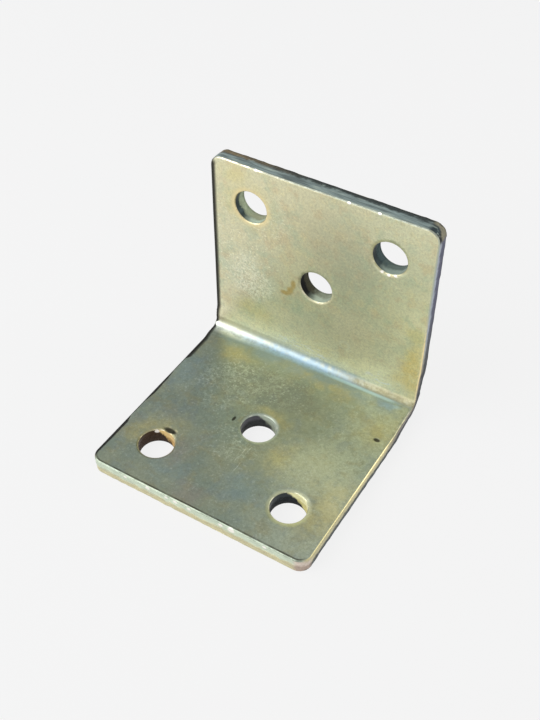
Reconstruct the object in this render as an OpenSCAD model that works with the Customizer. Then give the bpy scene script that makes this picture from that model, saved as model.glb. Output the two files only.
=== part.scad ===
// Angle bracket: one blank of steel sheet, punched with three screw holes in each flange,
// then folded once to a right angle. X runs along the bend, Y from front to back, Z up.
// The base flange lies on Z = 0 and the upright flange stands at the back.

/* [Sheet] */
// Thickness of the steel sheet
sheet = 2.8; // [2:0.1:4]
// Width of the bracket, along its bend
width = 40.4; // [36:0.1:80]
// Height of the upright flange, from the underside of the base
upright = 39.4; // [38:0.1:70]
// Reach of the base flange, from the back of the upright
reach = 40.6; // [39:0.1:70]
// Radius of the four free corners, seen square on
corner_r = 2.1; // [1:0.1:4]

/* [Bend] */
// Radius inside the bend
bend_r = 1.4; // [0.6:0.1:4]
// Height of the swelling at each end of the bend, where folding squeezed the inner side out sideways
swell = 0.4; // [0.2:0.05:0.6]
// Reach of that swelling over the bracket's side, from the inner face of the bend
swell_reach = 2; // [1.2:0.1:3.6]

/* [Sheared edges] */
// Rounding where the blanking tool drew the rim of the inner faces down
roll_r = 0.35; // [0.1:0.05:0.6]
// Depth below the inner face at which the smooth band of the edge ends and the torn band starts
land_depth = 1.3; // [0.8:0.1:1.7]
// How far the torn band leans in by the time it reaches the outer face
tear_lean = 0.1; // [0:0.02:0.3]
// Flat worn along the rim of the outer faces
rim_flat = 0.12; // [0.05:0.01:0.25]

/* [Screw holes] */
// Bore of each hole
hole_d = 6; // [4:0.1:7]
// Rounding of each hole's mouth on the inner face
mouth_r = 0.2; // [0.1:0.05:0.4]
// Distance between the centres of a flange's two outer holes
pair_gap = 25.2; // [20:0.1:26]
// Outer holes of the upright, from its free edge
upright_pair_inset = 7.75; // [5:0.05:9]
// Outer holes of the base, from its free edge
base_pair_inset = 8.05; // [5:0.05:9]
// Middle hole of the upright, from the underside of the base
upright_middle = 20.2; // [18:0.1:22]
// Middle hole of the base, from the back of the upright
base_middle = 21; // [18:0.1:22]

/* [Hidden] */
$fn = 64;
// Angle at which a mouth's rounding meets the face and the bore
mouth_meet = 15;
// How far a cutting tool passes the surface that it cuts
pass = 1;
// Distance from the bend's outer faces to where a flange turns flat
root = sheet + bend_r;
// Inner face of the upright, and the axis that the bend turns about
upright_face_y = reach / 2 - sheet;
bend_y = upright_face_y - bend_r;
// Where a swelling fades out, from the axis of the bend
swell_edge_r = bend_r + swell_reach;
// Ball that a swelling is cut from, and how far inside the bracket's side its centre lies
swell_depth = (pow(swell_edge_r, 2) - pow(bend_r, 2) - pow(swell, 2)) / (2 * swell);
swell_ball_r = sqrt(pow(swell_depth, 2) + pow(swell_edge_r, 2));
// A swelling starts a little way down the rounded rim, and never passes the middle of the worn flat
swell_drop = 0.12;
swell_inner_r = bend_r + swell_drop;
swell_outer_r = root - rim_flat / 2;

// Section through the sheet at a free edge: X runs out to the edge, Y down from the inner face.
// A rounded rim, a smooth upright band, and a torn band that leans in to the outer face.
module edge_section(run) {
    torn = run - tear_lean;
    polygon([
        [0, 0],
        [run - roll_r, 0],
        [run - roll_r, roll_r],
        [run, roll_r],
        [run, land_depth],
        [torn, sheet - rim_flat],
        [torn - rim_flat, sheet],
        [0, sheet]
    ]);
    translate([run - roll_r, roll_r]) circle(r = roll_r);
}

// Section across the whole strip, from side to side
module strip_section() {
    edge_section(width / 2);
    mirror([1, 0]) edge_section(width / 2);
}

// One flat flange, from the end of the bend at Y = 0 to its free edge.
// Its inner face is on Z = 0 and its outer face on Z = sheet.
module flange(run) {
    straight = run - corner_r;
    translate([0, straight, 0]) {
        rotate([90, 0, 0]) linear_extrude(height = straight) strip_section();
        rotate([90, 0, 90]) linear_extrude(height = width - 2 * corner_r, center = true) edge_section(corner_r);
        for (side = [0, 1])
            mirror([side, 0, 0])
                translate([width / 2 - corner_r, 0, 0])
                    rotate_extrude(angle = 90) edge_section(corner_r);
    }
}

// The folded stretch between the flanges, a quarter turn about the X axis
module bend() {
    rotate([0, 90, 0])
        rotate_extrude(angle = 90)
            translate([bend_r, 0]) mirror([1, 0]) rotate(90) strip_section();
}

// The part of the sheet that swells, as seen from the side with the bend's axis at the origin:
// the bend, and enough of both flanges to hold the whole swelling
module bend_side() {
    thick = swell_outer_r - swell_inner_r;
    run = swell_edge_r + pass;
    intersection() {
        difference() {
            circle(r = swell_outer_r);
            circle(r = swell_inner_r);
        }
        translate([0, -swell_outer_r]) square(swell_outer_r);
    }
    translate([-run, -swell_outer_r]) square([run, thick]);
    translate([swell_inner_r, 0]) square([thick, run]);
}

// The swelling at one end of the bend, highest near the inner face and fading out along both flanges
module swelling() {
    intersection() {
        translate([width / 2 - corner_r, 0, 0])
            rotate([90, 0, 90]) linear_extrude(height = corner_r + pass) bend_side();
        translate([width / 2 - swell_depth, 0, 0]) sphere(r = swell_ball_r);
    }
}

// What the punch takes out for one screw: the bore, and the rounded mouth on the inner face
module screw_hole() {
    centre = mouth_r * cos(mouth_meet);
    mouth = hole_d / 2 + centre;
    translate([0, 0, -pass]) cylinder(d = hole_d, h = sheet + 2 * pass);
    rotate_extrude()
        difference() {
            translate([0, -pass]) square([mouth, pass + centre]);
            translate([mouth, centre]) circle(r = mouth_r);
        }
}

// The three holes of a flange: a pair near the free corners, and one in the middle nearer the bend
module hole_set(pair_y, middle_y) {
    for (side = [-1, 1])
        translate([side * pair_gap / 2, pair_y, 0]) screw_hole();
    translate([0, middle_y, 0]) screw_hole();
}

// Stands a flange up behind the bend, with its inner face to the front
module as_upright() {
    translate([0, upright_face_y, root]) rotate([90, 0, 180]) children();
}

// Lays a flange down in front of the bend, with its inner face up
module as_base() {
    translate([0, bend_y, sheet]) rotate([180, 0, 0]) children();
}

module bracket() {
    upright_run = upright - root;
    base_run = reach - root;
    color("darkkhaki")
        difference() {
            union() {
                as_upright() flange(upright_run);
                as_base() flange(base_run);
                translate([0, bend_y, root]) {
                    bend();
                    for (side = [0, 1])
                        mirror([side, 0, 0]) swelling();
                }
            }
            as_upright() hole_set(upright_run - upright_pair_inset, upright_middle - root);
            as_base() hole_set(base_run - base_pair_inset, base_middle - root);
        }
}

bracket();
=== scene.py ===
"""A folded, punched steel angle bracket with a yellow passivated zinc finish, on a pale studio floor."""
import math

import bmesh
import bpy
from mathutils import Matrix, Vector, noise


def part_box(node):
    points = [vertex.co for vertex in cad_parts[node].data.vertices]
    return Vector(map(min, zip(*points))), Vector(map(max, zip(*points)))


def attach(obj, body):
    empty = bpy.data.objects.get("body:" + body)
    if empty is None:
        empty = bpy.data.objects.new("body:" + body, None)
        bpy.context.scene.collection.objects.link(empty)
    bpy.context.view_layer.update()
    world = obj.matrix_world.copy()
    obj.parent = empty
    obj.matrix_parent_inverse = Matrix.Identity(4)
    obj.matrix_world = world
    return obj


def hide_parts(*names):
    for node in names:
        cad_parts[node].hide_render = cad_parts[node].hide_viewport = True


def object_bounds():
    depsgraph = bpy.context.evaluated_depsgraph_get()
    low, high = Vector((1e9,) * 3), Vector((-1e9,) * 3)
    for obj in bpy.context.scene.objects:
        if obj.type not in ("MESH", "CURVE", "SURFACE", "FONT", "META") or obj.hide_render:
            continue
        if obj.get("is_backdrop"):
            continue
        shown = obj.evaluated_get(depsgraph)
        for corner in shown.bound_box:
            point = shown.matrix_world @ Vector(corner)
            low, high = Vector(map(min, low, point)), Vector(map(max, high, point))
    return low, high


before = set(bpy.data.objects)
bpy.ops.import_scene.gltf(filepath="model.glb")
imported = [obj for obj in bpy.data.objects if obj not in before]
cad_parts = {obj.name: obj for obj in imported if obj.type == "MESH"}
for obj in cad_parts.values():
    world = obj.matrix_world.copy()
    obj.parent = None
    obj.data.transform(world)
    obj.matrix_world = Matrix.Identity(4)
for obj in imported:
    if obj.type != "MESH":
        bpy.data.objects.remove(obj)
cad_box = [list(corner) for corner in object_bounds()]
scene = bpy.context.scene
scene.view_settings.view_transform = "Standard"
MM = 0.001


# The camera looks down on the inside corner from the front right, as in the photograph.
# Its sensor's width lies along the picture's long side.
CAMERA_EYE = Vector((60.43, -97.14, 130.34)) * MM
CAMERA_AIM = Vector((-6.82, 14.18, 2.8)) * MM
CAMERA_ROLL = math.radians(0.18)
CAMERA_LENS = 51.15
SENSOR_WIDTH = 36
NEAREST_SEEN = 5 * MM

camera = bpy.data.objects.new("camera", bpy.data.cameras.new("camera"))
scene.collection.objects.link(camera)
scene.camera = camera
camera.data.lens = CAMERA_LENS
camera.data.sensor_width = SENSOR_WIDTH
camera.data.clip_start = NEAREST_SEEN
camera.location = CAMERA_EYE
camera.rotation_mode = "QUATERNION"
gaze = (CAMERA_AIM - CAMERA_EYE).to_track_quat("-Z", "Y")
camera.rotation_quaternion = gaze @ Matrix.Rotation(CAMERA_ROLL, 3, "Z").to_quaternion()


# The floor is a pale sheet that runs past the camera's view, and the world behind it has the same tone.
# The camera sees both as plain off-white, also in reflections, with a little of the floor's shadow left.
FLOOR_SIZE = 4.0
SHADOW_SHARE = 0.1
BACKDROP_LEVEL = 1.035
SKYLIGHT = (0.5, 0.5, 0.52, 1)


class Wire:
    """The output of a shader node. Sums on it add Math nodes."""

    def __init__(self, paint, socket):
        self.paint = paint
        self.socket = socket

    def sum(self, operation, first, second=0.0):
        return self.paint.node("Math", {"operation": operation}, {0: first, 1: second})

    def __add__(self, other):
        return self.sum("ADD", self, other)

    def __sub__(self, other):
        return self.sum("SUBTRACT", self, other)

    def __rsub__(self, other):
        return self.sum("SUBTRACT", other, self)

    def __mul__(self, other):
        return self.sum("MULTIPLY", self, other)

    def __truediv__(self, other):
        return self.sum("DIVIDE", self, other)

    def __pow__(self, other):
        return self.sum("POWER", self, other)

    def __abs__(self):
        return self.sum("ABSOLUTE", self)

    __radd__ = __add__
    __rmul__ = __mul__


class Paint:
    """A material or world, and the nodes that make its colour."""

    def __init__(self, owner):
        owner.use_nodes = True
        self.owner = owner
        self.tree = owner.node_tree
        self.tree.nodes.clear()

    def node(self, kind, settings=None, sockets=None, out=0):
        made = self.tree.nodes.new("ShaderNode" + kind)
        for name, value in (settings or {}).items():
            if name == "stops":
                ramp = made.color_ramp
                while len(ramp.elements) < len(value):
                    ramp.elements.new(0.5)
                for element, (place, colour) in zip(ramp.elements, value):
                    element.position = place
                    element.color = (*colour, 1)
            else:
                setattr(made, name, value)
        for name, value in (sockets or {}).items():
            if isinstance(value, Wire):
                self.tree.links.new(value.socket, made.inputs[name])
            else:
                made.inputs[name].default_value = value
        return Wire(self, made.outputs[out] if made.outputs else None)

    def step(self, value, low, high):
        """0 below low and 1 above high, smooth between."""
        span = {"Value": value, "From Min": low, "From Max": high}
        return self.node("MapRange", {"interpolation_type": "SMOOTHSTEP"}, span)

    def blend(self, mask, first, second):
        """The second colour over the first one, as far as the mask says."""
        settings = {"data_type": "RGBA", "blend_type": "MIX", "clamp_factor": True}
        return self.node("Mix", settings, {0: mask, 6: first, 7: second}, 2)


def tone(red, green, blue):
    """A colour from its eight-bit screen values, by the sRGB curve."""
    levels = [value / 255 for value in (red, green, blue)]
    linear = [((level + 0.055) / 1.055) ** 2.4 if level > 0.04 else level / 12.92 for level in levels]
    return (*linear, 1.0)


def seen(paint):
    """1 for what the camera sees, straight or by way of metal or glass, and 0 for light on the object."""
    rays = ("Is Camera Ray", "Is Glossy Ray", "Is Transmission Ray")
    straight, mirrored, through_glass = (paint.node("LightPath", out=ray) for ray in rays)
    total = straight + mirrored + through_glass
    return paint.node("Math", {"operation": "MINIMUM"}, {0: total, 1: 1.0})


BACKDROP = tone(243, 243, 243)
PAPER = tone(228, 228, 228)

floor_mesh = bmesh.new()
bmesh.ops.create_grid(floor_mesh, x_segments=1, y_segments=1, size=FLOOR_SIZE / 2)
floor = bpy.data.objects.new("floor", bpy.data.meshes.new("floor"))
floor_mesh.to_mesh(floor.data)
floor_mesh.free()
scene.collection.objects.link(floor)
floor.data.materials.append(bpy.data.materials.new("pale_floor"))
floor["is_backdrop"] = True

pale = Paint(floor.data.materials[0])
paper = pale.node("BsdfDiffuse", {}, {"Color": PAPER})
plain = pale.node("Emission", {}, {"Color": BACKDROP, "Strength": BACKDROP_LEVEL})
showing = seen(pale) * (1 - SHADOW_SHARE)
pale.node("OutputMaterial", {}, {"Surface": pale.node("MixShader", {}, {0: showing, 1: paper, 2: plain})})

scene.world = bpy.data.worlds.new("studio")
studio = Paint(scene.world)
surround = studio.blend(seen(studio), SKYLIGHT, BACKDROP)
studio.node("OutputWorld", {}, {"Surface": studio.node("Background", {}, {"Color": surround})})


# Soft lamps: a large one from the front left, high enough to light the bend and the rolled rims,
# and a weak one from the back right that lifts the right-hand edges.
# Each has its place and its size in millimetres, and its power in watts.
LAMPS = [
    ("key", (-230, -230, 215), 420, 1.3),
    ("rim", (220, 190, 130), 120, 0.15),
]
LAMP_AIM = Vector((0, 0, 15)) * MM
for name, place, size, power in LAMPS:
    lamp = bpy.data.objects.new(name, bpy.data.lights.new(name, "AREA"))
    scene.collection.objects.link(lamp)
    lamp.data.energy = power
    lamp.data.size = size * MM
    lamp.location = Vector(place) * MM
    lamp.rotation_mode = "QUATERNION"
    lamp.rotation_quaternion = (LAMP_AIM - lamp.location).to_track_quat("-Z", "Y")


# The bracket is one blank of steel sheet, punched with six holes and sheared round its outline, then folded
# to a right angle. The fold squeezed its inner side out at the left end and drew its outer side in at both,
# the right one more. The tool left a torn outer half on every edge, and the base has three chips.

# Its sheet, inner bend, width, free corners and the depth of the smooth part of its edges, in millimetres
SHEET = 2.8
BEND_R = 1.4
WIDTH = 40.4
CORNER_R = 2.1
LAND = 1.3
# How far a swelling at an end of the bend reaches, from the inner face and then from the bend's axis
SWELL_REACH = 2.0
SWELL_EDGE = BEND_R + SWELL_REACH
# Half the width, the place of the upright's inner face, and the axis of the bend
low, high = (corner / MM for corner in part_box("bracket"))
SIDE = WIDTH / 2
FACE_Y = high.y - SHEET
BEND_Y = FACE_Y - BEND_R
BEND_Z = SHEET + BEND_R

# How finely the mesh is cut on the faces, through the sheet and on the swellings, which are then evened
GRID = 0.8
LAYERS = 9
SWELL_GRID = 0.2
EVENING_ROUNDS = 24
# How often the edges in a chip or a swelling are halved, and how far past them: past a swelling along the
# bend and away from its axis, and past a chip as a share of its reach
HALVINGS = 2
PAST_SWELL_ALONG = 0.6
PAST_SWELL_ACROSS = 0.8
PAST_CHIP = 1.3
# How near points are merged, and which angles count as flat and as sharp
WELD = 0.001
CUT_WELD = 0.02
FLAT_ANGLE = math.radians(0.05)
SHARP_ANGLE = math.radians(40)

# How far the outer side is drawn in at each end of the bend, the inner side's share of that on the right,
# how much the drawing keeps to the outer side, and how far it reaches round the bend and along it
DRAW_IN_LEFT = 0.55
DRAW_IN_RIGHT = 0.62
INNER_SHARE = 0.38
OUTER_BIAS = 1.5
DRAW_REACH = 6.5
DRAW_WIDTH = 4.0

# The height and length of the sheet's faint waves
WAVE = 0.07
WAVE_LENGTH = 13
# The torn half's grain: its height, size and mean, its smoothness, the step between its octaves and how many
# it has, over what depth it comes and goes, and how far from the bend's axis it is full
GRAIN = 0.11
GRAIN_SIZE = 0.9
GRAIN_MEAN = 0.2
GRAIN_OCTAVES = (0.7, 2.0, 3)
GRAIN_START = 0.3
GRAIN_END = 0.2
GRAIN_FROM_AXIS = 9

# Each chip in the base: its place, its reach both ways, its depth, and the reach of the dark spot in it
CHIP_REACH_Z = 1.0
CHIP_BLUNTNESS = 0.8
CHIPS = [
    ((-12.3, -8.7), (1.5, 0.6), 0.32, (1.6, 0.7)),
    ((18.0, 7.2), (0.8, 0.5), 0.12, (0.8, 0.5)),
    ((-4.7, -1.0), (0.5, 0.9), 0.06, (0.35, 0.8)),
]


def away_from_bend(point):
    """The direction through the sheet at a point, from its inner to its outer face, and the depth there."""
    across = Vector((0, max(point.y - BEND_Y, 0), -max(BEND_Z - point.z, 0)))
    return across.normalized(), across.length - BEND_R


def from_axis(point):
    """The distance of a point from the axis of the bend."""
    return math.hypot(point.y - BEND_Y, point.z - BEND_Z)


def share(value, full):
    """0 at zero or less, 1 at the full value or more, and straight between."""
    return min(max(value / full, 0), 1)


def at_bend_end(vert):
    """Whether a vertex lies on the swelling at one end of the bend, or just beside it."""
    point = vert.co / MM
    return abs(point.x) > SIDE - PAST_SWELL_ALONG and from_axis(point) < SWELL_EDGE + PAST_SWELL_ACROSS


def cut_across(mesh, axis, places):
    """Cuts the mesh along planes that are square to one axis."""
    normal = Vector([float(i == axis) for i in range(3)])
    for place in places:
        everything = mesh.verts[:] + mesh.edges[:] + mesh.faces[:]
        plane = {"plane_co": normal * place * MM, "plane_no": normal}
        bmesh.ops.bisect_plane(mesh, geom=everything, dist=CUT_WELD * MM, **plane)


def draw_in(point, depth):
    """How far a point near an end of the bend was drawn in. On the right the swelling goes as well."""
    outward = share(depth, SHEET) ** OUTER_BIAS
    near = max(1 - (from_axis(point) / DRAW_REACH) ** 2, 0)
    near *= max(1 - (SIDE - abs(point.x)) / DRAW_WIDTH, 0) ** 2
    if point.x <= 0:
        return Vector((DRAW_IN_LEFT * near * outward, 0, 0))
    swollen = max(point.x - SIDE, 0)
    return Vector((-DRAW_IN_RIGHT * near * (INNER_SHARE + (1 - INNER_SHARE) * outward) - swollen, 0, 0))


def torn_grain(vert, point, through, depth):
    """The rough grain of the torn half of an edge, which fades out towards the bend."""
    on_wall = share(1 - abs(vert.normal.dot(through)), 0.5)
    torn = share(depth - LAND, GRAIN_START) * share(SHEET - depth, GRAIN_END) * on_wall
    torn *= share(from_axis(point), GRAIN_FROM_AXIS)
    return vert.normal * torn * GRAIN * (noise.fractal(point / GRAIN_SIZE, *GRAIN_OCTAVES) - GRAIN_MEAN)


def chip_depth(point):
    """How deep the chips go at a point."""
    total = 0
    for place, reach, drop, _ in CHIPS:
        offset = point - Vector((*place, SHEET))
        inside = 1 - sum((part / size) ** 2 for part, size in zip(offset, (*reach, CHIP_REACH_Z)))
        total += drop * max(inside, 0) ** CHIP_BLUNTNESS
    return total


steel = bmesh.new()
steel.from_mesh(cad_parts["bracket"].data)
bmesh.ops.remove_doubles(steel, verts=steel.verts, dist=WELD * MM)
bmesh.ops.dissolve_limit(steel, angle_limit=FLAT_ANGLE, verts=steel.verts, edges=steel.edges)
for axis in range(3):
    steps = round((high[axis] - low[axis]) / GRID)
    cut_across(steel, axis, [low[axis] + (high[axis] - low[axis]) * cut / steps for cut in range(1, steps)])
for layer in range(1, LAYERS):
    cut_across(steel, 2, [SHEET * layer / LAYERS])
    cut_across(steel, 1, [high.y - SHEET * layer / LAYERS])

for place, reach, *_ in CHIPS:
    middle = Vector((*place, SHEET))
    radius = max(*reach, CHIP_REACH_Z) * PAST_CHIP
    for _ in range(HALVINGS):
        near = [edge for edge in steel.edges if all(
            (vert.co / MM - middle).length < radius for vert in edge.verts)]
        bmesh.ops.subdivide_edges(steel, edges=near, cuts=1, use_grid_fill=True)

# The swellings are cut finer and evened out, so that they flow into the rolled rim.
bmesh.ops.triangulate(steel, faces=[face for face in steel.faces if all(map(at_bend_end, face.verts))])
for _ in range(HALVINGS):
    near = [edge for edge in steel.edges if edge.calc_length() > SWELL_GRID * MM]
    near = [edge for edge in near if all(map(at_bend_end, edge.verts))]
    bmesh.ops.subdivide_edges(steel, edges=near, cuts=1, use_grid_fill=True)
even = {"factor": 0.5, "use_axis_x": True, "use_axis_y": True, "use_axis_z": True}
for _ in range(EVENING_ROUNDS):
    bmesh.ops.smooth_vert(steel, verts=[vert for vert in steel.verts if at_bend_end(vert)], **even)

steel.normal_update()
moves = []
for vert in steel.verts:
    point = vert.co / MM
    through, depth = away_from_bend(point)
    sunk = WAVE * noise.noise(point / WAVE_LENGTH) * max(1 - depth / SHEET, 0) + chip_depth(point)
    moves.append((draw_in(point, depth) + torn_grain(vert, point, through, depth) + through * sunk) * MM)
for vert, move in zip(steel.verts, moves):
    vert.co += move
for face in steel.faces:
    face.smooth = True
for edge in steel.edges:
    edge.smooth = len(edge.link_faces) != 2 or edge.calc_face_angle(0) < SHARP_ANGLE

bracket = bpy.data.objects.new("zinc_bracket", bpy.data.meshes.new("zinc_bracket"))
steel.to_mesh(bracket.data)
steel.free()
scene.collection.objects.link(bracket)
soften = bracket.modifiers.new("even_shading", "WEIGHTED_NORMAL")
soften.keep_sharp = True


# The finish is electroplated zinc under a thin yellow passivation film. The film's thickness drifts, so it
# shows khaki, gold, grey green and blue, and some tones below also hold painted light and shade, said where
# they are made. The steel's own grain lies under it, fine grit roughens it, and the rims carry painted
# sparkle highlights.
# Places and sizes are in millimetres, and noise and masks run from 0 to 1.
zinc = Paint(bpy.data.materials.new("passivated_zinc"))
bracket.data.materials.append(zinc.owner)
normal = zinc.node("NewGeometry", out="Normal")


def larger(first, second):
    """The larger of two values."""
    return zinc.node("Math", {"operation": "MAXIMUM"}, {0: first, 1: second})


def smaller(first, second):
    """The smaller of two values."""
    return zinc.node("Math", {"operation": "MINIMUM"}, {0: first, 1: second})


def scaled(vector, factor):
    """A place or a colour, times a factor."""
    return zinc.node("VectorMath", {"operation": "SCALE"}, {"Vector": vector, "Scale": factor})


def faces(direction):
    """How far the surface faces a direction, from 1 for full on to -1 for straight away."""
    return zinc.node("VectorMath", {"operation": "DOT_PRODUCT"}, {0: normal, 1: direction}, "Value")


# Where a point lies: its depth below the inner face, its flange, and whether it is on a face or on a wall.
spot = scaled(zinc.node("TexCoord", out="Object"), 1 / MM)
x, y, z = (zinc.node("SeparateXYZ", {}, {0: spot}, out) for out in "XYZ")
back = larger(y - BEND_Y, 0.0)
down = larger(BEND_Z - z, 0.0)
depth = (back * back + down * down) ** 0.5 - BEND_R
upright = zinc.step(back - down, -0.9, 0.9)
outwards = zinc.node("CombineXYZ", {}, {"Y": back, "Z": down * -1.0})
outwards = zinc.node("VectorMath", {"operation": "NORMALIZE"}, {0: outwards})
flatness = abs(faces(outwards))
wall = (1 - zinc.step(flatness, 0.25, 0.75)) * zinc.step(depth, 0.06, 0.2)
inner = 1 - zinc.step(depth, 0.9, 1.9)

# How far a point lies in from the outline, whose free corners are round and which swells at the bend
SWELL_ALLOWANCE = 0.5
axis_square = (y - BEND_Y) ** 2 + (z - BEND_Z) ** 2
swelling = larger(1 - axis_square / SWELL_EDGE ** 2, 0.0) * SWELL_ALLOWANCE
past_side = abs(x) - swelling - (SIDE - CORNER_R)
past_end = larger(z - (high.z - CORNER_R), (low.y + CORNER_R) - y)
round_part = (larger(past_side, 0.0) ** 2 + larger(past_end, 0.0) ** 2) ** 0.5
straight_part = smaller(larger(past_side, past_end), 0.0)
border = CORNER_R - round_part - straight_part


def cloud(size, detail=3.0, rough=0.55, seed=0.0, stretch=(1, 1, 1), turn=(0, 0, 0)):
    """Noise from 0 to 1 with spots of about this size. Another seed moves it, so that no two match."""
    mapped = {"Vector": spot, "Location": (seed, seed * 1.7, seed * 0.6), "Rotation": turn, "Scale": stretch}
    where = zinc.node("Mapping", {}, mapped)
    grains = {"Vector": where, "Scale": 1 / size, "Detail": detail, "Roughness": rough}
    return zinc.node("TexNoise", {}, grains)


# A place that strays up to half of this from the true one, so that spots get ragged borders
STRAY = 5.0
swirl = {"Vector": spot, "Scale": 0.32, "Detail": 4.0, "Roughness": 0.6}
wander = zinc.node("TexNoise", {}, swirl, "Color")
wander = zinc.node("VectorMath", {"operation": "MULTIPLY_ADD"}, {0: wander, 1: (STRAY,) * 3, 2: spot})
wander = zinc.node("VectorMath", {"operation": "SUBTRACT"}, {0: wander, 1: (STRAY / 2,) * 3})


def patch(place, reach, where=None):
    """1 in the middle of an oval spot and 0 at its border, which wanders unless where is the true place."""
    mapped = {"Vector": where or wander, "Location": place, "Scale": reach}
    oval = zinc.node("Mapping", {"vector_type": "TEXTURE"}, mapped)
    return zinc.node("TexGradient", {"gradient_type": "SPHERICAL"}, {"Vector": oval}, "Fac")


# A spot on one flange's inner face reaches this far off it, so that it doesn't show on the other flange.
THIN = 1.6


def spots(upright_spots=(), base_spots=(), where=None):
    """Oval spots on the inner faces. Each has a place across and along its flange, and two reaches."""
    total = 0.0
    for across, height, wide, tall in upright_spots:
        total = patch((across, FACE_Y, height), (wide, THIN, tall), where) + total
    for across, along, wide, tall in base_spots:
        total = patch((across, along, SHEET), (wide, tall, THIN), where) + total
    return total


# The faces' ground: khaki on the upright, made paler by painted light towards its sides, its top and the
# bend, and a darker grey green on the base, partly the film's tone and partly painted shade, as the base
# catches less of the lamps. The base turns to olive at the right. Three sizes of mottle lie over both.
KHAKI = tone(210, 206, 172)
PALE_KHAKI = tone(238, 234, 198)
MOSS = tone(196, 200, 170)
TEAL = tone(132, 140, 122)
STEEL_GREEN = tone(120, 132, 120)
OLIVE = tone(154, 164, 148)

upright_ground = zinc.blend(zinc.step(cloud(9, 2.0, 0.5, seed=3.0), 0.42, 0.62), KHAKI, MOSS)
# Painted light: the upright grows paler towards its sides and its top, and most of all near the bend.
painted_light = (1 - zinc.step(x, -20, 2)) * 0.3 + zinc.step(x, 2, 20) * 0.45 + zinc.step(z, 31, 39) * 0.2
painted_light = painted_light + (1 - zinc.step(z, 4, 14)) * 1.0 + zinc.step(x, 12, 20) * (1 - zinc.step(z, 20, 28)) * 0.4
upright_ground = zinc.blend(painted_light, upright_ground, PALE_KHAKI)
base_ground = zinc.blend(zinc.step(cloud(8, 2.0, 0.5, seed=8.0), 0.4, 0.62), TEAL, STEEL_GREEN)
base_ground = zinc.blend(zinc.step(x + cloud(6, seed=1.0) * 6.0, 4, 22) * 0.9, base_ground, OLIVE)
face_colour = zinc.blend(upright, base_ground, upright_ground)

# Each mottle: its size, its seed, and its tone on the base and on the upright
MOTTLES = [
    (2.8, 41.0, tone(138, 130, 90), tone(206, 186, 146)),
    (3.4, 43.0, tone(112, 126, 132), tone(182, 196, 168)),
    (1.5, 45.0, tone(124, 128, 104), tone(222, 214, 170)),
]
for mottle_size, seed, base_tone, upright_tone in MOTTLES:
    mottle = zinc.step(cloud(mottle_size, 4.0, 0.62, seed=seed), 0.5, 0.66)
    face_colour = zinc.blend(mottle * (0.32 + upright * 0.1), face_colour, zinc.blend(upright, base_tone, upright_tone))

# Stains where the film is thicker or thinner. Each: its tone, its strength, and its spots on the upright
# and on the base. Later ones lie over the earlier ones.
STRAW = tone(220, 208, 142)
GOLD = tone(172, 162, 104)
GREY = tone(112, 119, 111)
BLUE = tone(116, 138, 142)
MAUVE = tone(140, 130, 122)
DUN = tone(184, 178, 154)
CLEAR_BLUE = tone(150, 180, 208)
SAGE = tone(196, 200, 168)
BUFF = tone(204, 198, 152)
CREAM = tone(255, 250, 212)
OATMEAL = tone(228, 222, 190)
HONEY = tone(236, 212, 138)
STAINS = [
    (STRAW, 0.5, [(-13, 10, 7, 3), (-13, 32, 7.5, 6.5), (-16, 37.5, 4, 2.5), (18.8, 12, 2.8, 9),
                  (18.5, 18.5, 3, 2.2), (18, 13, 3, 1.8), (0, 6.2, 17, 1.6)], []),
    (GOLD, 0.45, [],
     [(-12.5, 12.2, 4.5, 2.8), (4, 14.2, 12, 1.8), (17.5, 8.5, 5, 5.5), (6.5, -5, 3.8, 4.6), (0, 3, 5, 2),
      (17, -12, 5.5, 9.5), (-13, -9, 5, 5), (-17, -12, 3, 5)]),
    (GREY, 0.6, [], [(-5, 7, 12, 7), (0, 8.5, 13, 5)]),
    (BLUE, 0.5, [], [(15.5, 16, 3.5, 1.8), (-18, 4, 4, 6.5), (-8, -16, 5, 4), (4, -13, 5, 5)]),
    (MAUVE, 0.4, [], [(-2, -18, 5, 3), (-9, -12, 4, 5)]),
    (DUN, 0.35, [(3, 30, 10, 9), (6, 26, 7, 8)], []),
    (CLEAR_BLUE, 0.8, [], [(16.4, 15.1, 2.8, 1.4)]),
    (SAGE, 0.4, [], [(12, -4, 10, 9)]),
    (BUFF, 0.45, [], [(18.5, -8, 3.5, 8)]),
    (CREAM, 0.8, [(-6, 5.6, 16, 3.4), (12, 6, 10, 3.6)], []),
    (OATMEAL, 0.6, [(9, 13.5, 13, 8), (-5, 11, 8, 4)], []),
    (HONEY, 0.6, [(17.8, 7, 3.6, 5), (18.6, 12, 2.4, 5)], []),
]
for stain, strength, upright_spots, base_spots in STAINS:
    face_colour = zinc.blend(zinc.step(spots(upright_spots, base_spots), 0, 0.95) * strength, face_colour, stain)

# A pale bloom lies on both inner faces: flecks, a powdery place, blotches and thin wisps.
MINT = tone(232, 240, 230)
IVORY = tone(244, 242, 214)
PALE_WISP = tone(206, 222, 206)
HAZE_SPOTS = (
    [(-14, 16, 7, 9), (-12, 20, 7, 8), (-9, 30, 5, 7), (-17, 24, 6, 12), (-3, 6, 9, 2.4), (14.5, 6, 3, 2)],
    [(-6, 8, 12, 8), (-10, 4, 10, 8), (-2, -6, 8, 6)],
)
POWDER_SPOTS = [(-14, 17, 4.5, 6.5), (-10.5, 15.5, 4, 4)]
# Each blotch: where its noise starts and is full, and its tone on the base and on the upright
BLOTCHES = [
    (0.42, 0.3, tone(96, 104, 96), tone(160, 158, 128)),
    (0.54, 0.7, tone(150, 160, 142), PALE_KHAKI),
]

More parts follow.
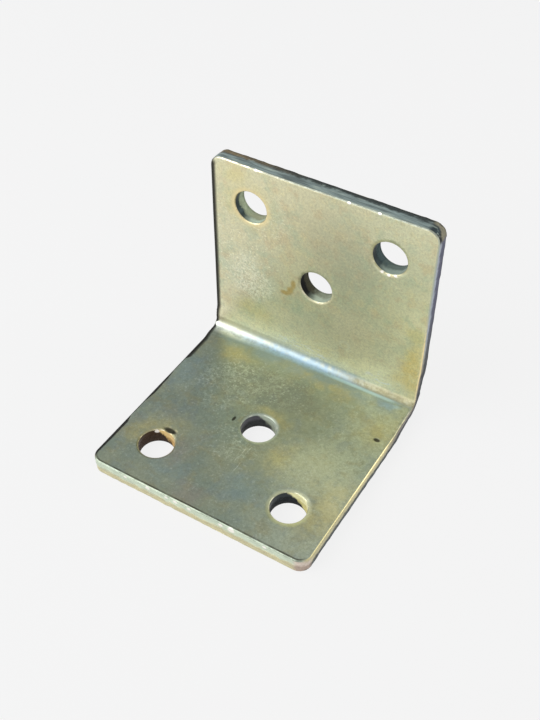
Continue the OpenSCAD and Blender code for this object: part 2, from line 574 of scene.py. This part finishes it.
haze = zinc.step(spots(*HAZE_SPOTS), 0, 0.8)
flecks = zinc.step(cloud(0.42, 2.0, 0.6, seed=5.0), 0.54, 0.68)
flecks = flecks * zinc.step(cloud(1.8, 3.0, 0.6, seed=51.0), 0.36, 0.56)
fleck_share = haze * (0.1 + upright * 0.72) + 0.1
face_colour = zinc.blend(flecks * fleck_share, face_colour, zinc.blend(upright, MINT, IVORY))
powder = zinc.step(spots(POWDER_SPOTS), 0, 0.7)
powder = powder * zinc.step(cloud(0.34, 3.0, 0.7, seed=71.0), 0.44, 0.58)
face_colour = zinc.blend(powder * 0.85, face_colour, tone(244, 242, 216))
blotches = cloud(1.6, 5.0, 0.7, seed=27.0)
for start, full, base_tone, upright_tone in BLOTCHES:
    blotch_tone = zinc.blend(upright, base_tone, upright_tone)
    face_colour = zinc.blend(zinc.step(blotches, start, full) * 0.21, face_colour, blotch_tone)
ridge = abs(cloud(1.3, 4.0, 0.7, seed=18.0) - 0.5)
wisps = (1 - zinc.step(ridge, 0.0, 0.06)) * haze * zinc.step(cloud(3.0, seed=19.0), 0.35, 0.6)
face_colour = zinc.blend(wisps * 0.22, face_colour, PALE_WISP)

# Handling marks: scratches on the base, a faint ring and a brown stroke on the upright, and scuffs just
# above the bend. The fine grain of the steel shows through it all.
TAN = tone(190, 158, 84)
WHITE = tone(246, 246, 240)
scratches = zinc.step(cloud(0.9, 2.0, 0.5, seed=2.0, stretch=(3.4, 0.35, 1), turn=(0, 0, 0.35)), 0.58, 0.7)
scratched = scratches * zinc.step(spots((), [(1, -8.5, 3.5, 5)]), 0, 0.6)
face_colour = zinc.blend(scratched * 0.25, face_colour, MINT)
ring = spots([(6, 10, 1.2, 1.2)], where=spot)
face_colour = zinc.blend(zinc.step(ring, 0.0, 0.25) * (1 - zinc.step(ring, 0.3, 0.6)) * 0.16, face_colour, MINT)
stroke = spots([(-5.9, 16.6, 1.3, 0.7), (-4.9, 17.5, 0.9, 1.1), (-4.3, 19.0, 0.7, 1.4)], where=spot)
face_colour = zinc.blend(zinc.step(stroke, 0.0, 0.7) * 0.75, face_colour, TAN)
scuffs = zinc.step(cloud(0.7, 3.0, 0.6, seed=9.0, stretch=(0.3, 1, 1.6)), 0.5, 0.62)
scuffs = scuffs * spots([(-2, 5.6, 8, 1.6), (13.5, 5.2, 5, 1.6)])
face_colour = zinc.blend(zinc.step(scuffs, 0.05, 0.5) * 0.7, face_colour, WHITE)
grain = cloud(0.45, 4.0, 0.9, seed=4.0)
face_colour = scaled(face_colour, 0.46 + grain * 1.06)


# A pale painted highlight runs along the fold's inner face, where it catches the key lamp. It is broad at
# the left, where it lies a little further forward, and thins to the right. A darker bluish band lies in
# front of it, and painted shade dulls the line above it, most at the left. At the right, painted bronze
# shade damps the lamp's own highlight, with a thin painted bluish highlight at its foot.
SKY = tone(152, 182, 204)
SLATE_BLUE = tone(112, 132, 142)
DULL_KHAKI = tone(160, 154, 124)
BRONZE = tone(134, 130, 100)
ICE = tone(168, 196, 200)
patchy = cloud(3.5, 4.0, 0.6, seed=6.0)
rightward = x + patchy * 8.0
before_bend = BEND_Y - y
above_bend = z - BEND_Z

under = zinc.step(before_bend, -0.6, 0.4) * (1 - zinc.step(before_bend, 1.2, 4.0)) * inner
under = under * zinc.step(rightward, -18, -12) * (0.25 + zinc.step(patchy, 0.4, 0.6) * 0.75)
face_colour = zinc.blend(under * 0.6, face_colour, SLATE_BLUE)
skew = (1 - zinc.step(x, -20, 8)) * 0.45
# Painted shade over the fold's upper side, strongest at the left.
painted_fold_shade_above = zinc.step(above_bend, -1.0, -0.5) * (1 - zinc.step(above_bend, 0.3, 1.0)) * inner * upright
face_colour = zinc.blend(painted_fold_shade_above * skew * 1.3, face_colour, DULL_KHAKI)
fold_width = 1.0 - zinc.step(x, -20, 12) * 0.5
slid = larger(above_bend + skew, before_bend - skew)
fold = (1 - zinc.step(slid / fold_width, -0.7, 0.7)) * inner
# The painted highlight along the fold, broken up by noise.
painted_fold_highlight = fold * (0.1 + patchy * 0.7 + zinc.step(cloud(1.1, 5.0, 0.72, seed=65.0), 0.36, 0.56) * 0.3)
fold_highlight_colour = zinc.blend(zinc.step(rightward, -14, -3), MINT, SKY)
face_colour = zinc.blend(painted_fold_highlight * (1 - zinc.step(rightward, 9, 19)), face_colour, fold_highlight_colour)
# Painted shade that damps the lamp's highlight at the fold's right end.
painted_fold_shade_right = zinc.step(cloud(0.8, 4.0, 0.7, seed=63.0), 0.4, 0.6) * 0.35 + 0.65
painted_fold_shade_right = painted_fold_shade_right * (1 - zinc.step(larger(above_bend, before_bend), -0.85, -0.3)) * inner
face_colour = zinc.blend(painted_fold_shade_right * zinc.step(rightward, 6, 15) * 0.9, face_colour, BRONZE)
# A thin painted bluish highlight along the fold's foot at the right.
into_bend = y - BEND_Y
fold_foot_highlight = zinc.step(into_bend, -0.3, 0.15) * (1 - zinc.step(into_bend, 0.35, 0.6)) * (1 - upright) * inner
fold_foot_highlight = fold_foot_highlight * zinc.step(rightward, 4, 13) * (1 - zinc.step(x, 15.5, 18))
face_colour = zinc.blend(fold_foot_highlight * 0.75, face_colour, ICE)


# The sheared edges have three bands: a rim that the tool drew round, a smooth land that it pressed as it
# cut, and a torn outer half. Their colours hold painted reflections and shade for how each side faces the
# light: pale at the front, slate at the top, dark at the upright's top right corner, darker near the bend,
# and dark grey on the left. An end side is the front edge or the top edge, and a long side runs from one to
# the other.
at_border = 1 - zinc.step(border, 0.5, 1.3)
end_ward = zinc.step(past_end - past_side, -1.2, 0.6)
end_side = at_border * end_ward
long_side = at_border * (1 - end_ward)
leftward = 1 - zinc.step(x, -1.0, 1.0)
left_side = long_side * leftward
top_side = end_side * upright
front_side = end_side * (1 - upright)
near_bend = 1 - zinc.step(axis_square ** 0.5, 5, 12)
ragged = depth + (cloud(1.6, 4.0, 0.7, seed=7.0) - 0.5) * 1.8
ragged = ragged + (long_side * 0.45 - end_side * 0.4) * upright
torn = zinc.step(ragged, LAND - 0.4, LAND + 0.4)

round_end = smaller(past_end, past_side)
top_corner = zinc.step(round_end, -0.4, 0.5) * at_border * (1 - leftward) * upright
front_corner = zinc.step(round_end, -0.4, 0.7) * at_border * (1 - leftward) * (1 - upright)
turned = zinc.step(past_side - past_end, -0.9, 0.6)
corner_land = zinc.blend(turned, tone(52, 66, 70), tone(20, 24, 22))
side_land = zinc.blend(zinc.step(z, 3, 22), tone(198, 192, 150), tone(166, 174, 184))
side_land = zinc.blend(near_bend * 0.95, side_land, tone(116, 108, 98))
side_torn = zinc.blend(zinc.step(z, 10, 26), tone(88, 94, 94), tone(96, 98, 118))
side_torn = zinc.blend(near_bend * 0.95, side_torn, tone(62, 66, 72))
top_torn = zinc.blend(zinc.step(rightward, -12, 2), tone(124, 112, 88), tone(62, 70, 68))
# Each side: where it is, and the colours of its land and of its torn half, which hold its painted light and
# shade
SIDES = [
    (long_side, side_land, side_torn),
    (left_side, tone(118, 122, 110), tone(84, 84, 76)),
    (top_side, tone(132, 148, 146), top_torn),
    (front_side, tone(210, 222, 200), tone(210, 204, 168)),
    (top_corner, corner_land, tone(140, 136, 116)),
    (front_corner, tone(214, 200, 186), tone(190, 172, 158)),
]

# A hole's wall has painted shadow on one side. In the base, which side depends on the wall's bearing and a
# little on its depth, and in the upright on its bearing alone.
BASE_BEARING = (0.86, 0.52, 0)
UPRIGHT_BEARING = (1, 0, 0)
uneven = (cloud(2.5, seed=21.0) - 0.5) * 0.5
base_shade = zinc.step(faces(BASE_BEARING) + depth * 0.34 + uneven * 0.3, -0.04, 0.2)
upright_shade = zinc.step(faces(UPRIGHT_BEARING) + uneven - 0.3, -0.3, 0.35)
shade = zinc.blend(upright, base_shade, upright_shade)

# Each hole: whether it is in the upright, its place across and along its flange, the colours of its land
# and of its torn half where they are lit and where they are in painted shadow, and the pale ring round its
# mouth, partly wear and partly a painted highlight: how wide it is, how deep it is, its colour and its
# strength. One wall is painted black in its shadow.
SHADOW_BLACK = tone(2, 2, 2)
HALF_PAIR = 12.6
UPRIGHT_PAIR = high.z - 7.75
UPRIGHT_MIDDLE = low.z + 20.2
BASE_PAIR = low.y + 8.05
BASE_MIDDLE = high.y - 21
HOLES = [
    (True, -HALF_PAIR, UPRIGHT_PAIR, (tone(190, 206, 186), tone(48, 60, 60)),
     (tone(170, 174, 146), tone(168, 178, 150)), (1.1, 0.03, tone(246, 226, 170), 0.6)),
    (True, HALF_PAIR, UPRIGHT_PAIR, (tone(150, 166, 154), tone(36, 46, 46)),
     (tone(112, 128, 120), tone(72, 88, 88)), (0.5, 0.06, tone(206, 200, 150), 0.4)),
    (True, 0.0, UPRIGHT_MIDDLE, (tone(186, 200, 178), SHADOW_BLACK),
     (tone(158, 166, 144), tone(70, 68, 52)), (0.35, 0.05, tone(214, 210, 172), 0.3)),
    (False, -HALF_PAIR, BASE_PAIR, (tone(236, 204, 138), tone(64, 46, 30)),
     (tone(214, 180, 118), tone(74, 60, 50)), (0.3, 0.12, tone(172, 160, 116), 0.4)),
    (False, HALF_PAIR, BASE_PAIR, (tone(248, 244, 190), tone(50, 56, 60)),
     (tone(222, 214, 150), tone(46, 50, 54)), (0.75, 0.14, tone(196, 198, 160), 0.6)),
    (False, 0.0, BASE_MIDDLE, (tone(178, 188, 170), tone(84, 84, 88)),
     (tone(164, 172, 152), tone(62, 64, 64)), (0.5, 0.08, tone(172, 184, 172), 0.6)),
]
# How far round a hole is measured, how far through the sheet, which part of that is the hole's own, and
# where the flat face round its mouth begins
HOLE_REACH = 6
HOLE_FAR = 60
HOLE_OWN = 4.5
MOUTH_EDGE = 3.1
land_colour = tone(150, 158, 142)
torn_colour = tone(96, 98, 84)
# Painted sparkle highlights on the rims round the holes.
rim_glints = zinc.step(cloud(0.8, 3.0, 0.6, seed=12.0), 0.46, 0.62)
rim_colour = zinc.blend(rim_glints, tone(112, 116, 104), tone(250, 242, 226))
mouth_dip = 0.0
hole_shadow_black = 0.0
for in_upright, across, along, land_tones, torn_tones, (ring_width, dip, ring_tone, strength) in HOLES:
    if in_upright:
        from_hole = patch((across, FACE_Y, along), (HOLE_REACH, HOLE_FAR, HOLE_REACH), spot)
    else:
        from_hole = patch((across, along, SHEET), (HOLE_REACH, HOLE_REACH, HOLE_FAR), spot)
    from_hole = (1 - from_hole) * HOLE_REACH
    here = (1 - zinc.step(from_hole, HOLE_OWN, HOLE_OWN + 0.1)) * (upright if in_upright else 1 - upright)
    land_colour = zinc.blend(here, land_colour, zinc.blend(shade, *land_tones))
    torn_colour = zinc.blend(here, torn_colour, zinc.blend(shade, *torn_tones))
    ring_wear_and_sheen = (1 - zinc.step(from_hole, MOUTH_EDGE, MOUTH_EDGE + ring_width)) * here
    face_colour = zinc.blend(ring_wear_and_sheen * strength, face_colour, ring_tone)
    rim_colour = zinc.blend(here * 0.55, rim_colour, ring_tone)
    mouth_dip = ring_wear_and_sheen * dip + mouth_dip
    # The black wall is painted shadow.
    if SHADOW_BLACK in land_tones:
        hole_shadow_black = here * wall * shade * (1 - torn) + hole_shadow_black
for side, smooth_colour, rough_colour in SIDES:
    land_colour = zinc.blend(side, land_colour, smooth_colour)
    torn_colour = zinc.blend(side, torn_colour, rough_colour)

# The walls' colour: crumbly all over, dragged into dark and bright streaks on the top edge, with a painted
# highlight band under the base's right rim, and dark at the outer face.
FOOT_DARK = tone(48, 46, 38)
crumbs = cloud(0.6, 5.0, 0.7, seed=11.0, stretch=(0.3, 1, 1))
edge_colour = zinc.blend(torn, land_colour, torn_colour)
drag = cloud(0.5, 3.0, 0.6, seed=24.0, stretch=(0.1, 1, 1))
edge_colour = zinc.blend(zinc.step(drag, 0.48, 0.6) * top_side * 0.5, edge_colour, tone(52, 60, 60))
bright_streak = zinc.step(drag, 0.46, 0.36) * top_side * (1 - torn)
edge_colour = zinc.blend(bright_streak * 0.5, edge_colour, tone(176, 188, 174))
edge_colour = scaled(edge_colour, 0.62 + crumbs * 0.75)
foot = zinc.step(depth, SHEET - 0.45, SHEET - 0.15) * (0.35 + at_border * 0.65) * (1 - front_side)
edge_colour = zinc.blend(foot * 0.7, edge_colour, FOOT_DARK)
highlight_patches = 1 - zinc.step(axis_square ** 0.5, 16, 26)
highlight_patches = highlight_patches * zinc.step(cloud(1.2, 3.0, 0.6, seed=73.0), 0.3, 0.5)
# Painted highlight band under the base's right rim.
right_rim_highlight = (1 - zinc.step(depth, 0.35, 0.75)) * long_side * (1 - upright) * (1 - near_bend) * (1 - leftward)
right_rim_highlight_colour = zinc.blend(highlight_patches, tone(196, 188, 142), tone(236, 218, 158))
edge_colour = zinc.blend(right_rim_highlight * 0.6, edge_colour, right_rim_highlight_colour)

# The rolled rims, with painted highlights where they face the lamps, broken by darker patches and darker
# near the bend, and a painted dark reflection on the left
rim = zinc.step(flatness, 0.3, 0.6) * (1 - zinc.step(flatness, 0.86, 0.985)) * inner
top_rim = zinc.blend(zinc.step(rightward, -10, 0), tone(232, 224, 204), tone(132, 142, 138))
top_dull = zinc.step(cloud(0.9, 3.0, 0.6, seed=61.0), 0.42, 0.54) * 0.7
top_rim = zinc.blend(top_dull, top_rim, tone(92, 102, 98))
front_rim = zinc.step(cloud(1.5, 3.0, 0.6, seed=67.0), 0.4, 0.6)
front_rim = zinc.blend(front_rim, tone(132, 142, 126), tone(168, 178, 162))
side_rim = zinc.blend(highlight_patches, tone(214, 202, 148), tone(252, 232, 172))
side_rim = zinc.blend(zinc.step(z, 16, 24), side_rim, tone(176, 186, 170))
side_rim = zinc.blend(near_bend * (1 - upright) * 0.8, side_rim, tone(150, 150, 118))
RIMS = [(top_side, top_rim), (front_side, front_rim), (long_side, side_rim), (left_side, tone(26, 26, 24))]
for side, its_rim in RIMS:
    rim_colour = zinc.blend(side, rim_colour, its_rim)
colour = zinc.blend(wall, face_colour, edge_colour)
colour = zinc.blend(rim * 0.8, colour, rim_colour)

# Painted shade: a dark line behind the base's front rim, where its face turns into the rim
FRONT_RIM_SHADE = tone(62, 62, 50)
front_rim_shade_line = zinc.step(border, 0.16, 0.28) * (1 - zinc.step(border, 0.42, 0.56))
front_rim_shade_line = front_rim_shade_line * inner * (1 - upright) * (1 - wall)
front_rim_shade_line = front_rim_shade_line * (0.55 + zinc.step(cloud(2.0, seed=25.0), 0.35, 0.6) * 0.45) * end_ward
colour = zinc.blend(front_rim_shade_line * 0.85, colour, FRONT_RIM_SHADE)

# Painted highlights, as glints along the front edge, each with its place and its width, along the top rim
# and under the upright's right hole, and at the mouth of the base's left hole
FRONT_GLINTS = [(-13.0, 0.45), (-8.6, 0.6), (-5.0, 0.45), (-3.3, 0.6), (-0.7, 0.55), (5.2, 0.6), (7.1, 0.9),
                (13.1, 0.5)]
FRONT_GLINT_Z = 2.3
UPRIGHT_GLINTS = [(11.5, 28.65), (12.7, 28.4), (13.9, 28.7), (10.2, 39.2), (5.0, 39.2), (-11.6, 39.2)]
BASE_GLINT = (-14.3, -9.75, 2.4)
GLINT_WHITE = tone(255, 250, 242)
glints = 0.0
for place, wide in FRONT_GLINTS:
    glints = patch((place, low.y, FRONT_GLINT_Z), (wide, 1.0, wide * 0.65), spot) + glints
for place, height in UPRIGHT_GLINTS:
    glints = patch((place, FACE_Y, height), (0.4, 0.4, 0.32), spot) + glints
glints = patch(BASE_GLINT, (0.6, 0.5, 0.45), spot) + glints
colour = zinc.blend(zinc.step(glints, 0.05, 0.5) * 0.9, colour, GLINT_WHITE)


# Marks: dark spots in the chips, and a painted dark reflection as a line down the left rim. Along the base
# the line's width changes from the front edge, at 0, to the bend, at 1.
LINE_WIDTHS = [(0.0, 0.1), (0.06, 0.62), (0.26, 0.72), (0.3, 0.25), (0.4, 0.28), (0.48, 0.62), (0.58, 0.52),
               (0.64, 0.28), (0.74, 0.28), (0.77, 0.95), (0.95, 0.98)]
UPRIGHT_LINE_WIDTH = (1.08, 1.08, 1.08, 1)
REFLECTION_BLACK = tone(16, 16, 14)
CHIP_DARK = tone(34, 32, 27)
to_bend = (y - low.y) / (BEND_Y - low.y)
stops = [(place, (width,) * 3) for place, width in LINE_WIDTHS]
base_width = zinc.node("ValToRGB", {"stops": stops}, {"Fac": to_bend})
line_width = zinc.blend(upright, base_width, UPRIGHT_LINE_WIDTH)
line_width = line_width * (0.7 + cloud(2.0, 3.0, 0.6, seed=14.0) * 0.6)
line_width = line_width * zinc.step(abs(back - down), -0.3, 1.3)
# Painted dark reflection down the left rim.
left_rim_dark_reflection = (1 - zinc.step(border / line_width, 0.85, 1.15)) * left_side * (1 - zinc.step(depth, 0.5, 1.0))
colour = zinc.blend(left_rim_dark_reflection * 0.97, colour, REFLECTION_BLACK)
chip_dark_spots = spots((), [(*place, *dark_reach) for place, _, _, dark_reach in CHIPS], spot)
colour = zinc.blend(zinc.step(chip_dark_spots, 0.05, 0.5) * 0.9, colour, CHIP_DARK)

# The surface: satin metal with fine grit, and rough in the torn half. The black places are dull.
# First how high the grit, the waves and the crumbs stand, then the roughness and the share of metal.
BUMP_GRIT = 0.006
BUMP_WAVES = 0.03
BUMP_CRUMBS = 0.2
SATIN = 0.42
METAL = 0.85
grit = cloud(0.28, 3.0, 0.7, seed=15.0)
height = grit * BUMP_GRIT + cloud(2.2, 3.0, 0.6, seed=16.0) * BUMP_WAVES
height = height + wall * torn * crumbs * BUMP_CRUMBS - mouth_dip * (1 - wall)
bump = zinc.node("Bump", {}, {"Height": height, "Distance": MM, "Strength": 1.0})
black = larger(left_rim_dark_reflection, hole_shadow_black)
roughness = SATIN + (grit - 0.5) * 0.3 - rim * 0.05 + wall * torn * 0.2 + fold * 0.08 + black * 0.6
metal = METAL - black * 0.8
finish = {"Base Color": colour, "Metallic": metal, "Roughness": roughness, "Normal": bump}
zinc.node("OutputMaterial", {}, {"Surface": zinc.node("BsdfPrincipled", {}, finish)})

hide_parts("bracket")
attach(bracket, "root")

size = {"cad": cad_box, "visual": [list(corner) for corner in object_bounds()]}
